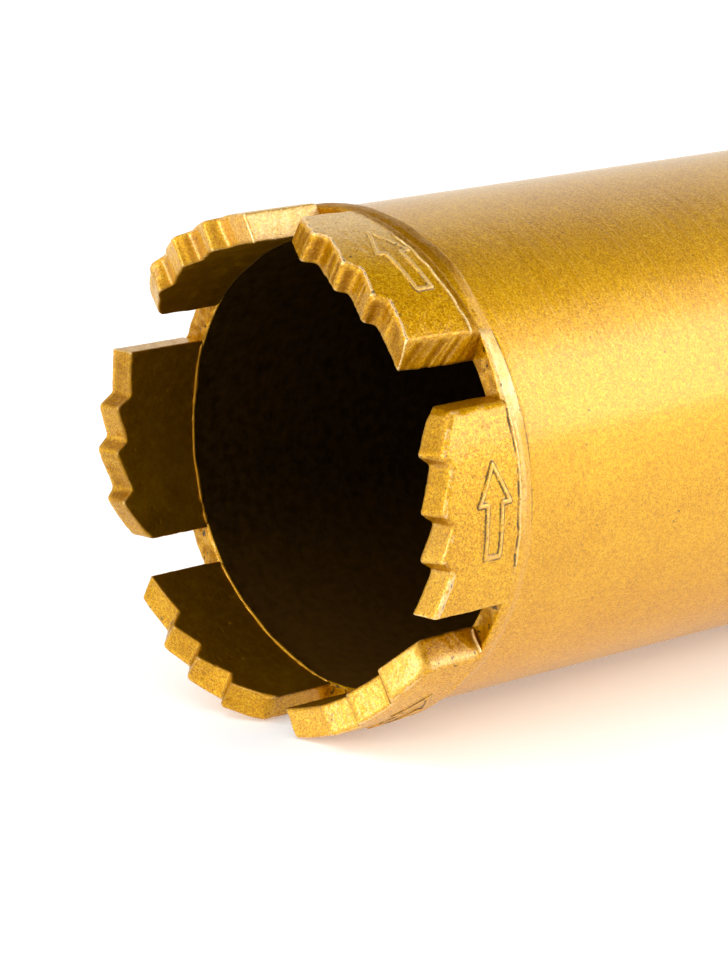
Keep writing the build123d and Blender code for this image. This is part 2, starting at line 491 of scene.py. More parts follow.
def segment(k):
    d = 0.15
    s = np.arange(-12.7, 12.7 + d, d, dtype=np.float32)
    r = np.arange(24.6, 32.5 + d, d, dtype=np.float32)
    h = np.arange(-0.8, 13.1 + d, d, dtype=np.float32)
    S, R, H = np.meshgrid(s, r, h, indexing="ij")
    phi = math.radians(ring_angle(k))
    if k == 2:
        S = S - 0.50 * np.clip(H, 0, 13) / 12.0
    # noise is taken at the segment's own coordinates, with an offset for each
    P = np.stack([S, R, H], -1) + np.array([41.3, 17.7, 23.1], np.float32) * k
    rho = np.hypot(S, R)
    rin = np.hypot(S, R - SEG_IN_OFF)
    top_o, top_i = TEETH[k]

    def tooth(pts):
        pts = [(-30.0, pts[0][1] + 3.2)] + list(pts) + [(30.0, pts[-1][1] - 9.0)]
        s2, h2 = np.meshgrid(s, h, indexing="ij")
        F = poly_sd(s2, h2, pts + [(30.0, -60.0), (-30.0, -60.0)])
        for ax in (0, 1):
            F = blur(F, 0.24 / d, ax)
        return F

    Fo, Fi = tooth(top_o), tooth(top_i)
    w = np.clip((R_CUT - rho) / 4.0, 0, 1)
    top = Fo[:, None, :] * (1 - w) + Fi[:, None, :] * w
    n_big = vnoise(P, 3.4, 11)
    n_mid = vnoise(P, 1.05, 12)
    n_fin = vnoise(P, 0.42, 13)
    n_grit = vnoise(P, 0.27, 14)
    # the tooth faces are fluted from the outer edge to the inner one
    flute = vnoise(np.stack([S / 0.55 + 7.7 * k, R / 5.0, H / 0.55], -1), 1.0, 21)
    flute2 = vnoise(np.stack([S / 1.3 + 3.1 * k, R / 7.0, H / 1.3], -1), 1.0, 22)
    amp = {1: 0.085, 2: 0.078, 6: 0.03}.get(k, 0.012)
    if k == 1:
        amp = 0.008 + (amp - 0.008) * sstep(S, -6.6, -5.4)
    calm = 0.4 if k in (4, 5, 6) else 1.0
    top = top + calm * (0.05 * n_big + 0.030 * n_mid) + amp * (flute + flute2)

    # raised arrow on the outer face
    s2, h2 = np.meshgrid(s, h, indexing="ij")
    ar = poly_sd(s2, h2, ARROW)
    line = np.abs(ar + 0.05) - 0.24
    worn = 0.95 + 0.40 * vnoise(P, 2.4, 15)
    raised = 0.22 * sstep(-line, -0.14, 0.08)[:, None, :] * np.clip(worn, 0.45, 1)
    out = rho - R_CUT + 0.18 - raised + 0.03 * n_big + 0.008 * n_mid
    # painted shade along the foot of the arrow's raised line
    ink_and_crease_shade = np.exp(-((line - 0.10) / 0.11) ** 2)[:, None, :] * np.clip(0.85 + 0.6 * n_mid + 0.4 * n_big, 0, 1)
    # thin raised seam line near the base, and the low zone behind it
    deep_tone_and_shade = np.zeros_like(S)
    # painted highlight along the crest of the arrow's raised line
    pale_paint_and_highlight = (0.80 if k == 2 else 0.40) * np.exp(-((line + 0.24) / 0.16) ** 2)[:, None, :] * (1 + 0.5 * n_mid)
    if k == 2:
        ink_and_crease_shade = 0.75 * ink_and_crease_shade
        pale_paint_and_highlight = np.maximum(pale_paint_and_highlight, 0.50 * sstep(S, -3.0, 7.5) * sstep(H, 0.8, 2.4) * (1 + 0.25 * n_big) * sstep(rho, R_CUT - 0.55, R_CUT - 0.30))
        hs = 1.50 + 0.12 * vnoise(P * np.array([1, 0, 0], np.float32), 1.6, 16)
        along = sstep(S, 5.5, 2.5)
        ridge = np.exp(-((H - hs) / 0.13) ** 2) * along
        out = out - 0.27 * ridge * (0.85 + 0.3 * n_mid) + 0.10 * sstep(hs - H, 0.0, 0.5) * along
        # painted highlight on the crest of the burr ridge
        pale_paint_and_highlight = np.maximum(pale_paint_and_highlight, 0.9 * ridge)
        ink_and_crease_shade = np.maximum(ink_and_crease_shade, 0.62 * np.exp(-((H - hs - 0.27) / 0.12) ** 2) * along * np.clip(0.8 + 0.6 * n_mid, 0, 1))
        deep_tone_and_shade = np.maximum(deep_tone_and_shade, 0.85 * sstep(hs - H, 0.1, 0.35))
        deep_tone_and_shade = np.maximum(deep_tone_and_shade, 0.22 * sstep(S, 0.0, -7.0))
    elif k == 3:
        hs = 0.55 + 0.12 * vnoise(P * np.array([1, 0, 0], np.float32), 1.3, 16)
        along = sstep(S, -9.5, -6.0)
        ridge = np.exp(-((H - hs) / 0.16) ** 2) * along
        out = out + 0.22 * ridge * (0.75 + 0.5 * n_mid) + 0.05 * along * sstep(1.2 - H, 0.0, 0.6) * n_fin
        ink_and_crease_shade = np.maximum(ink_and_crease_shade, ridge * np.clip(0.80 + 0.9 * n_mid + 0.3 * n_fin, 0, 1))
        # painted highlight: the cream line beside the seam
        pale_paint_and_highlight = np.maximum(pale_paint_and_highlight, 0.75 * along * np.exp(-((H - hs + 0.42) / 0.20) ** 2))
    else:
        hs = 0.9 + 0.15 * vnoise(P * np.array([1, 0, 0], np.float32), 1.5, 16)
        ridge = np.exp(-((H - hs) / 0.15) ** 2) * np.clip(0.5 + vnoise(P, 4.0, 17), 0, 1)
        out = out - 0.12 * ridge
    inn = SEG_IN_R - rin + 0.05 * n_big
    ecw = -12.0 - S + 0.03 * n_big
    if k == 2:
        ecw = ecw - 0.17 * np.clip(29.3 - R, 0, 4.5)
    eccw = S - 12.0 + 0.04 * n_big
    # grinding lines slant across the end faces
    q = (H + 0.57 * (R - 27.5)) + 0.10 * n_big
    lines = vnoise(np.stack([q / 0.44, 0.5 * n_big + k * 3.1, 0 * q], -1), 1.0, 18) + 0.6 * vnoise(np.stack([q / 0.95, 0 * q + k * 5.3, 0 * q], -1), 1.0, 23)
    ecw = ecw + (0.060 if k == 2 else 0.018) * lines
    eccw = eccw + 0.018 * lines
    base = -H - 0.12
    rn = 1 + 0.5 * vnoise(P, 1.3, 19)
    F = rmax(out, ecw, CW_R[k] * rn)
    F = rmax(F, eccw, CCW_R[k] * rn)
    F = rmax(F, inn, 0.28 * rn)
    w_out = np.clip(1 + out / 1.6, 0, 1)
    # bevel worn along the outer tooth edges
    leg = {1: 0.26, 2: 0.22, 3: 0.36, 4: 0.22, 5: 0.26, 6: 0.26}[k] * (1 + 0.25 * n_big)
    F = rmax(F, top, (0.22 + 0.08 * w_out + CCW_R[k] * 0.9 * sstep(S, 10.2, 11.8)) * rn)
    F = rmax(F, (out + top + leg) * 0.7071, 0.20 if k == 3 else 0.14)
    F = rmax(F, base, 0.10 + 0.38 * w_out)
    if k == 4:
        # thin ridge of weld at the foot of the upper end face
        t = np.clip(R, 25.9, 28.6)
        rod = np.sqrt((S - 12.10) ** 2 + (R - t) ** 2 + (H - 0.42 - 0.10 * n_mid) ** 2) - 0.19 - 0.04 * n_mid
        F = np.minimum(F, rod)
    # casting grit, and a few pits
    F = F + 0.012 * n_mid + 0.012 * n_fin + 0.008 * n_grit
    pit = np.maximum(vnoise(P, 0.62, 20) - 0.72, 0) * (S > -11.6) * (S < 11.6)
    F = F + 0.40 * pit * (np.abs(F) < 0.8)
    edge = np.pad(np.ones(tuple(n - 2 for n in F.shape), bool), 1)
    F = np.where(edge, F, np.maximum(F, 0.5)).astype(np.float32)

    V, Q = surface_nets(F)
    G = np.gradient(F)
    for _ in range(2):
        f = sample(F, V)
        gr = np.stack([sample(c, V) for c in G], -1)
        stp = -f[:, None] * gr / ((gr * gr).sum(-1)[:, None] + 1e-6)
        L = np.linalg.norm(stp, axis=1)[:, None]
        V = V + stp * np.minimum(1, 0.4 / (L + 1e-9))
    # worn line where the outer face meets the teeth, strongest at the tooth tips
    strength = {1: 0.45, 2: 0.95, 3: 0.62, 4: 0.75, 5: 0.5, 6: 0.4}[k]
    low = 1.0
    if k == 3:
        low = 0.62 + 0.75 * sstep(-S, 5.6, 7.5)
    # dark worn line on the bevel's outer side, a pale rubbed bevel inside it
    wear = strength * low * np.exp(-(out ** 2 + (top + leg) ** 2) / (2 * 0.12 ** 2))
    wear = np.maximum(wear, (0.42 if k == 3 else 0.30) * np.exp(-((out + top + leg) ** 2) / (2 * 0.10 ** 2)) * (out > -leg - 0.1) * (top > -leg - 0.1))
    wear = np.maximum(wear, 0.55 * np.exp(-(out ** 2 + eccw ** 2) / (2 * 0.3 ** 2)) * sstep(H, 6.5, 8.0))
    gs, gh = np.gradient(top, axis=0), np.gradient(top, axis=2)
    steep = sstep(-gs / (np.abs(gh) + 1e-6), 0.5, 1.1)          # the short faces, turned to -s
    wv = sample((wear * (1 - 0.65 * steep)).astype(np.float32), V)
    # painted shade: the inner faces are darker; less of it on the lower half of segments 5 and 6, where more light
    # reaches, and in patches on segment 1
    thin = {5: 0.12, 6: 0.18}.get(k, 0.0) * sstep(S, -3.0, 9.0) * (0.7 + 0.7 * n_big + 0.4 * n_mid)
    if k == 1:
        thin = 0.30 * np.clip(flute2 + 0.8 * n_big, 0, 1) + 0.25 * sstep(n_mid, 0.45, 0.8)
    dv = sample((np.exp(-(np.minimum(inn, 0) / 0.35) ** 2) * (1 - thin)).astype(np.float32), V)
    # tooth faces: painted shade, darker in the middle than along their edges and set for each segment by how it sits to
    # the light; darkest on the steep sides, which turn down into shade
    on_top = np.exp(-(np.minimum(top, 0) / 0.22) ** 2) * sstep(-out, leg + 0.10, leg + 0.9) * sstep(-inn, 0.15, 0.7)
    tilt = {1: 0.15, 2: 0.20, 3: 0.75, 4: 0.4, 5: 0.55, 6: 0.45}[k]
    on_top = on_top * {1: 0.34, 2: 0.84, 3: 0.38, 4: 0.04, 5: 0.32, 6: 0.58}[k] * (1 + 0.5 * n_big + (0.9 if k in (1, 2) else 0.4) * flute)
    if k == 1:
        on_top = on_top * (0.15 + 0.85 * sstep(S, -6.6, -5.4))
    if k == 3:
        on_top = on_top * (1 - 0.6 * sstep(-S, 0.0, 2.0))
    if k == 5:
        on_top = on_top + 0.25 * sstep(S, 4.5, 7.0) * (np.abs(top) < 0.6)
    deep_tone_and_shade = np.maximum(deep_tone_and_shade, on_top)
    deep_tone_and_shade = np.maximum(deep_tone_and_shade, (on_top + tilt) * steep * np.exp(-(np.minimum(top, 0) / 0.22) ** 2))
    deep_tone_and_shade = np.maximum(deep_tone_and_shade, {1: 0.0, 2: 0.62}.get(k, 0.25) * np.exp(-(np.minimum(ecw, 0) / 0.25) ** 2) * sstep(-out, 0.2, 0.7) * (1 + 0.9 * lines))
    # the upper ends of these two are darker, on segment 4 only along the inner side
    up_end = np.exp(-(np.minimum(eccw, 0) / 0.25) ** 2)
    if k == 3:
        deep_tone_and_shade = np.maximum(deep_tone_and_shade, 0.85 * up_end * sstep(-out, 0.25, 0.8))
    if k == 4:
        deep_tone_and_shade = np.maximum(deep_tone_and_shade, 0.95 * up_end * sstep(28.7 + 0.4 * n_big - R, -0.5, 1.3))
        pale_paint_and_highlight = np.maximum(pale_paint_and_highlight, 0.50 * up_end * sstep(R - 28.2 - 0.4 * n_big, -0.3, 1.0) * sstep(H, 0.6, 1.5) * (1 + 0.4 * n_mid))
    # painted light: the tooth faces of segments 1, 3 and 4 are made paler where they catch the light
    lit = {1: 0.24 * np.clip(0.6 + 0.9 * flute, 0, 1.5),
           3: 0.08 * sstep(-S, 0.0, 2.0), 4: 0.11 + 0.05 * sstep(S, 6.5, 7.5)}.get(k, 0.0)
    pale_paint_and_highlight = np.maximum(pale_paint_and_highlight, lit * (1 - steep) * np.exp(-(np.minimum(top, 0) / 0.22) ** 2) * (1 + 0.15 * n_mid))
    if k == 1:
        # creamy, thick paint on the end face that shows
        pale_paint_and_highlight = np.maximum(pale_paint_and_highlight, 0.60 * np.exp(-(np.minimum(ecw, 0) / 0.25) ** 2) * sstep(-top, 0.0, 0.5) * (1 + 0.25 * n_mid))
    # painted shade: dark line in the valleys between the teeth
    gap = np.full(S.shape, 9.0, np.float32)
    for (sv_o, hv), (sv_i, _) in zip((top_o[1], top_o[3], top_o[5]), (top_i[1], top_i[3], top_i[5])):
        gap = np.minimum(gap, np.abs(S - sv_o * (1 - w) - sv_i * w))
    ink_and_crease_shade = np.maximum(ink_and_crease_shade, {4: 0.95, 5: 0.7, 1: 0.3, 6: 0.35}.get(k, 0.2) * np.exp(-(gap / 0.13) ** 2) * np.exp(-(np.minimum(top, 0) / 0.2) ** 2) * np.clip(0.9 + 0.5 * n_mid, 0, 1))
    iv = sample(ink_and_crease_shade.astype(np.float32), V) * ((sample(out.astype(np.float32), V) > -0.35) | (sample(top.astype(np.float32), V) > -0.3))
    if k == 4:
        pale_paint_and_highlight = np.maximum(pale_paint_and_highlight, 0.25 * np.exp(-(rod / 0.12) ** 2))
        out = np.where(rod < 0.12, 0, out)
    near = (sample(out.astype(np.float32), V) > -0.35) | (sample(top.astype(np.float32), V) > -0.3)
    if k in (1, 4):
        near = near | (sample((ecw if k == 1 else eccw).astype(np.float32), V) > -0.35)
    pv = sample(pale_paint_and_highlight.astype(np.float32), V) * near
    ev = sample(deep_tone_and_shade.astype(np.float32), V)
    loc = V * d + np.array([s[0], r[0], h[0]])
    sn, cs = math.sin(phi), math.cos(phi)
    W = np.empty_like(loc)
    W[:, 0] = X_RIM - loc[:, 2]
    W[:, 1] = loc[:, 0] * sn - loc[:, 1] * cs
    W[:, 2] = AXIS_Z + loc[:, 0] * cs + loc[:, 1] * sn
    Q = outward(W, Q)
    K = convexity(W, Q)
    return add_mesh("segment_body_%d" % k, W, Q, M_SEG, "segment_%d" % k,
                    {"cvx": K, "wear": wv, "ink_and_crease_shade": iv, "dim": dv, "deep_tone_and_shade": ev, "pale_paint_and_highlight": pv})


# ------------------------------------------------------------------ surfaces of revolution
def ring_mesh(U, Rr, phi):
    """Closed ring from rows (x, radius) by columns of angle; both directions wrap."""
    nr, nc = U.shape
    V = np.empty((nr, nc, 3))
    V[..., 0] = U
    V[..., 1] = -Rr * np.cos(phi)[None, :]
    V[..., 2] = AXIS_Z + Rr * np.sin(phi)[None, :]
    idx = np.arange(nr * nc).reshape(nr, nc)
    a = idx
    b = np.roll(idx, -1, 0)
    c = np.roll(b, -1, 1)
    d = np.roll(idx, -1, 1)
    return V.reshape(-1, 3), np.stack([a, b, c, d], -1).reshape(-1, 4)


def adiff(phi, c):
    """Angle from c to phi, -180 to 180."""
    return (phi - c + 180.0) % 360.0 - 180.0


def barrel():
    nc = 760
    deg = np.arange(nc) * 360.0 / nc - 180.0
    phi = np.radians(deg)
    one = np.ones(nc)
    wob = vnoise(np.stack([deg / 3.0, 0 * deg, 0 * deg], -1), 1.0, 31)
    wob2 = vnoise(np.stack([deg / 0.9, 0 * deg, 0 * deg], -1), 1.0, 32)
    # how strongly the weld-thickened band stands out, round the rim
    full = np.maximum(sstep(deg, 43.0, 60.0), 0) * one
    full = np.where(deg > 100, 1.0 - 0.35 * sstep(np.abs(adiff(deg, 90.0 + 60.0)), 9.0, 6.0), full)
    full = np.where(deg < -80, sstep(-deg, 80.0, 96.0), full)
    cone = sstep(deg, -12.0, 4.0) * (1 - sstep(deg, 37.4, 39.8))   # plain bevelled band
    merge = 1 - np.clip(full + cone, 0, 1)
    r_f = 31.22 * full + (30.72 + 0.55 * sstep(deg, 22.0, 38.0) + 0.50 * sstep(deg, 24.0, 14.0)) * cone + 30.95 * merge
    r_m = 31.38 * full + (30.95 + 0.08 * sstep(deg, 20.0, 10.0)) * cone + 30.92 * merge
    r_r = 31.28 * full + 30.76 * cone + 30.72 * merge
    wid = 2.36 + 0.54 * full
    stp = 0.40 * full + 0.10 * cone + 0.35 * merge
    r_f = r_f + 0.03 * wob
    r_m = r_m + 0.04 * wob * (1 - cone) + 0.015 * wob2
    r_r = r_r + 0.03 * wob * (1 - cone)
    ch0 = 0.30
    r_m = r_m * (1 - cone) + (r_f + (r_r - r_f) * (1.25 - ch0) / (2.36 - ch0) + 0.03) * cone
    wid = wid + (0.07 * wob + 0.03 * wob2) * (1 - 0.8 * cone)
    ch = 0.30 + 0.05 * wob2
    bore = R_BORE * one
    # control points of the section, from the bore round the rim to the tube
    pts = [
        (6.0 * one, bore, 1), (1.2 * one, bore, 8), (0.28 * one, bore + 0.0, 6), (0.0 * one, bore + 0.28, 4),
        (0.0 * one, r_f - ch, 15), (ch, r_f, 5), (1.25 * one, r_m, 8), (wid - 0.12, r_r, 9),
        (wid, r_r - 0.06, 2), (wid + stp, R_TUBE * one, 5), (wid + stp + 0.9, R_TUBE * one, 4), (7.0 * one, R_TUBE * one, 5)]
    U, Rr = [pts[0][0]], [pts[0][1]]
    for (u0, r0, _), (u1, r1, n) in zip(pts, pts[1:]):
        for i in range(1, n + 1):
            t = i / n
            U.append(u0 * (1 - t) + u1 * t)
            Rr.append(r0 * (1 - t) + r1 * t)
    U, Rr = np.array(U), np.array(Rr)
    n_crown = len(U)
    # round the corners of the section a little
    for _ in range(2):
        Us, Rs = U.copy(), Rr.copy()
        U[1:-1] = 0.25 * Us[:-2] + 0.5 * Us[1:-1] + 0.25 * Us[2:]
        Rr[1:-1] = 0.25 * Rs[:-2] + 0.5 * Rs[1:-1] + 0.25 * Rs[2:]
    # relief of the rim: normals of the section from its own run
    dU, dR = np.gradient(U, axis=0), np.gradient(Rr, axis=0)
    L = np.hypot(dU, dR) + 1e-9
    nu, nr_ = -dR / L, dU / L
    C = np.stack([U, -Rr * np.cos(phi), Rr * np.sin(phi)], -1).astype(np.float32)
    fade = sstep(U, 6.0, 2.5)
    disp = (0.030 * vnoise(C, 1.6, 33) + 0.020 * vnoise(C, 0.7, 34) + 0.012 * vnoise(C, 0.4, 35)) * fade
    # the bevelled band between segments 2 and 3 was turned, so it is smoother
    smooth_band = cone[None, :] * sstep(Rr, 30.4, 30.9) * (U > 0.15)
    disp = disp * (1 - 0.45 * smooth_band)
    # fine dark line behind the bevelled band
    groove = np.exp(-((U - (wid + 0.12)) / 0.12) ** 2) * (Rr > 30) * cone
    disp = disp - 0.065 * groove
    # the ground rim face, and the raised line beside segment 3, are grittier
    rim = (U < 0.14) & (Rr > R_BORE + 0.2) & (Rr < r_f - 0.2)
    disp = disp + rim * (0.05 * vnoise(C, 0.9, 39) + 0.03 * vnoise(C, 0.45, 40))
    behind = (1 - sstep(deg, 18.0, 23.0)) * sstep(deg, -12.0, -4.0)
    disp = disp + 0.09 * behind * np.exp(-((U - 0.75) / 0.28) ** 2) * (Rr > 30) * (1 + 0.5 * vnoise(C, 0.8, 44))
    U = U + nu * disp
    Rr = Rr + nr_ * disp
    # the rest of the tube, then its rear end and the bore
    tube = [(8.5, R_TUBE), (11, R_TUBE), (15, R_TUBE), (21, R_TUBE), (30, R_TUBE), (42, R_TUBE), (56, R_TUBE),
            (72, R_TUBE), (90, R_TUBE), (108, R_TUBE), (124, R_TUBE), (137, R_TUBE), (145, R_TUBE), (148.4, R_TUBE),
            (149.4, R_TUBE), (149.6, R_TUBE - 0.02), (149.85, R_TUBE - 0.16), (149.98, R_TUBE - 0.40), (150, R_TUBE - 0.7),
            (150, 29.2), (150, R_BORE + 0.35), (149.93, R_BORE + 0.10), (149.7, R_BORE), (149.2, R_BORE), (147, R_BORE),
            (141, R_BORE), (132, R_BORE), (120, R_BORE), (104, R_BORE), (86, R_BORE), (68, R_BORE), (50, R_BORE),
            (34, R_BORE), (22, R_BORE), (14, R_BORE), (9, R_BORE)]
    U = np.concatenate([U, np.array([[u] * nc for u, _ in tube])])
    Rr = np.concatenate([Rr, np.array([[q] * nc for _, q in tube])])
    row = np.arange(len(U))
    # the tube is not perfectly round or straight
    C = np.stack([U, -Rr * np.cos(phi), Rr * np.sin(phi)], -1).astype(np.float32)
    wave = 0.022 * vnoise(C, (26.0, 14.0, 14.0), 36)
    Rr = Rr + wave * ((row >= n_crown - 6) & (row < n_crown + 13))[:, None]
    V, Q = ring_mesh(X_RIM + U, Rr, phi)
    Q = outward(V, Q)
    K = convexity(V, Q, 2)
    Kc = K.reshape(len(U), nc)
    Kc[(U > 1.6) & (U < 5.5) & (Rr > 30)] *= 0.35
    shown = sstep(deg, 14.0, 22.0) * cone           # in the gap; behind a segment it is plainer
    n_c = np.clip(0.75 + 0.45 * vnoise(C[:n_crown], 0.9, 37) + 0.25 * vnoise(C[:n_crown], 0.35, 38), 0, 1)
    body = (U[:n_crown] > 0.12) * (U[:n_crown] < (wid - 0.02)) * (Rr[:n_crown] > 30.4)
    # painted highlight: the bevelled strip in the gap, which faces the light, is made pale; less of it behind the
    # segment
    pale_paint_and_highlight = np.zeros(len(V))
    pale_paint_and_highlight[:body.size] = ((0.85 * shown + 0.40 * (cone - shown) * (U[:n_crown] < 1.2)) * body * n_c).ravel()
    # painted shade on the rim's end face, and a deeper tone on the band behind segment 2
    deep_tone_and_shade = np.zeros(len(V))
    face = (U[:n_crown] < 0.14) * sstep(r_f[None, :] - Rr[:n_crown], 0.2, 0.6)
    band = full * sstep(deg, 43.0, 50.0) * (deg < 110) * (U[:n_crown] < 2.85) * (Rr[:n_crown] > 30.4)
    spots = vnoise(C[:n_crown], 0.7, 46) + 0.6 * vnoise(C[:n_crown], 1.7, 47)
    deep_tone_and_shade[:body.size] = np.maximum(np.clip(0.80 + 0.55 * spots, 0.15, 1.3) * face, 0.85 * band).ravel()
    # painted shadow along the step behind the bevelled band, and dark specks on the rim face and strip
    ink_and_crease_shade = np.zeros(len(V))
    speck = 0.8 * sstep(vnoise(C[:n_crown], 0.55, 48), 0.45, 0.75) * face
    speck = speck + 0.6 * sstep(vnoise(C[:n_crown], 0.42, 49), 0.42, 0.75) * shown * body
    ink_and_crease_shade[:body.size] = speck.ravel() + (np.exp(-((U[:n_crown] - (wid + 0.10)) / 0.13) ** 2) * (Rr[:n_crown] > 30) * sstep(deg, -12.0, -3.0) * (1 - sstep(deg, 37.4, 39.8)) * (0.66 + 0.34 * sstep(deg, 2.0, 16.0))
                        * np.clip(0.85 + 0.6 * vnoise(C[:n_crown], 1.1, 45), 0, 1)).ravel()
    inner = (Rr < R_BORE + 0.2) * sstep(U, 0.10, 0.60)
    inner = inner * np.where(row >= n_crown + 22, 1.0, (row < 30).astype(float))[:, None]
    return add_mesh("barrel_tube", V, Q, M_TUBE, "barrel",
                    {"cvx": K, "bore": inner.ravel(), "ink_and_crease_shade": ink_and_crease_shade, "pale_paint_and_highlight": pale_paint_and_highlight, "deep_tone_and_shade": deep_tone_and_shade})


def bead(name, path, rad, sides, mat, closed, bare=0.0, dim=0.0):
    """Weld bead: a tube of changing radius along a path of points, in mm."""
    path, rad = np.asarray(path, float), np.asarray(rad, float)
    n = len(path)
    if closed:
        tan = np.roll(path, -1, 0) - np.roll(path, 1, 0)
    else:
        tan = np.gradient(path, axis=0)
    tan /= np.linalg.norm(tan, axis=1)[:, None]
    ax = np.array([1.0, 0, 0])
    side = np.cross(tan, ax)
    side /= np.linalg.norm(side, axis=1)[:, None]
    up = np.cross(side, tan)
    a = np.arange(sides) * 2 * math.pi / sides
    V = (path[:, None, :] + rad[:, None, None] * (np.cos(a)[None, :, None] * side[:, None, :]
         + np.sin(a)[None, :, None] * up[:, None, :]))
    idx = np.arange(n * sides).reshape(n, sides)
    if closed:
        A, B = idx, np.roll(idx, -1, 0)
    else:
        A, B = idx[:-1], idx[1:]
    Q = np.stack([A, B, np.roll(B, -1, 1), np.roll(A, -1, 1)], -1).reshape(-1, 4)
    if not closed:
        # both ends are closed with a strip of quads
        caps = [[e[0], e[i], e[i + 1], e[i + 2]] for e in (idx[0][::-1], idx[-1]) for i in range(1, sides - 2, 2)]
        Q = np.concatenate([Q, np.array(caps)])
    V = V.reshape(-1, 3)
    K = 0.5 + 0.8 * vnoise((V + 50).astype(np.float32), 0.6, 41)
    return add_mesh(name, V, Q, mat, None, {"cvx": K, "bore": np.full(len(V), bare), "dim": np.full(len(V), dim)})


def inner_beads():
    """Thin weld line where each segment's inner face meets the rim, inside."""
    for k in range(1, 7):
        n = 200
        s = np.linspace(-11.6, 11.6, n)
        phi = math.radians(ring_angle(k))
        r_in = SEG_IN_OFF + np.sqrt(SEG_IN_R ** 2 - s ** 2)
        rr = np.hypot(s, r_in)
        scale = (np.minimum(rr, R_BORE + 0.02) + 0.03) / rr
        nz = vnoise(np.stack([s / 0.8 + 13 * k, 0 * s, 0 * s], -1).astype(np.float32), 1.0, 42)
        nz2 = vnoise(np.stack([s / 3.0 + 7 * k, 0 * s, 0 * s], -1).astype(np.float32), 1.0, 43)
        u = 0.08 + 0.10 * nz2
        y = (s * math.sin(phi) - r_in * math.cos(phi)) * scale
        z = AXIS_Z + (s * math.cos(phi) + r_in * math.sin(phi)) * scale
        rad = 0.26 + 0.05 * nz + 0.06 * nz2
        if k in (1, 2, 3):
            rad = rad * 0.7
        if k == 6:
            rad = rad * (1 - 0.85 * np.exp(-((s - 9.3) / 0.7) ** 2))
        rad = rad * np.sqrt(np.clip((11.62 - np.abs(s)) / 0.6, 0.0005, 1))
        # the ends close to a point
        rad[0] = rad[-1] = 0.002
        # painted shade on the beads inside the rim, strongest on segments 1 and 6
        bead("weld_inner_%d" % k, np.stack([X_RIM + u, y, z], -1), rad, 12, M_TUBE, False,
             bare={1: 0.9, 2: 0.9, 3: 0.9, 6: 0.38}.get(k, 0.05), dim={1: 0.9, 6: 0.9, 5: 0.5}.get(k, 0.3))


def rear_beads():
    """Rippled weld rings at the back plate: to the tube, and to the hub."""
    for name, rad0, r, x, pitch in (("weld_plate_tube", 1.05, R_BORE - 0.15, X_PLATE + 0.05, 2.3),
                                    ("weld_plate_hub", 1.55, 22.15, X_PLATE + 0.10, 2.6)):
        n = 900
        a = np.arange(n) * 2 * math.pi / n
        count = round(2 * math.pi * r / pitch)
        t = (a * count / (2 * math.pi)) % 1.0
        rip = 1 - 0.16 * (2 * t - 1) ** 2 + 0.10 * (t < 0.12) * (t / 0.12)
        c = np.stack([np.cos(a) * 5, np.sin(a) * 5, 0 * a], -1).astype(np.float32)
        rip = rip + 0.07 * vnoise(c, 1.1, 51) + 0.05 * vnoise(c, 0.3, 52)
        rr = r + 0.12 * vnoise(c, 0.9, 53)
        path = np.stack([np.full(n, x), -rr * np.cos(a), AXIS_Z + rr * np.sin(a)], -1)
        bead(name, path, rad0 * rip, 18, M_TUBE, True)


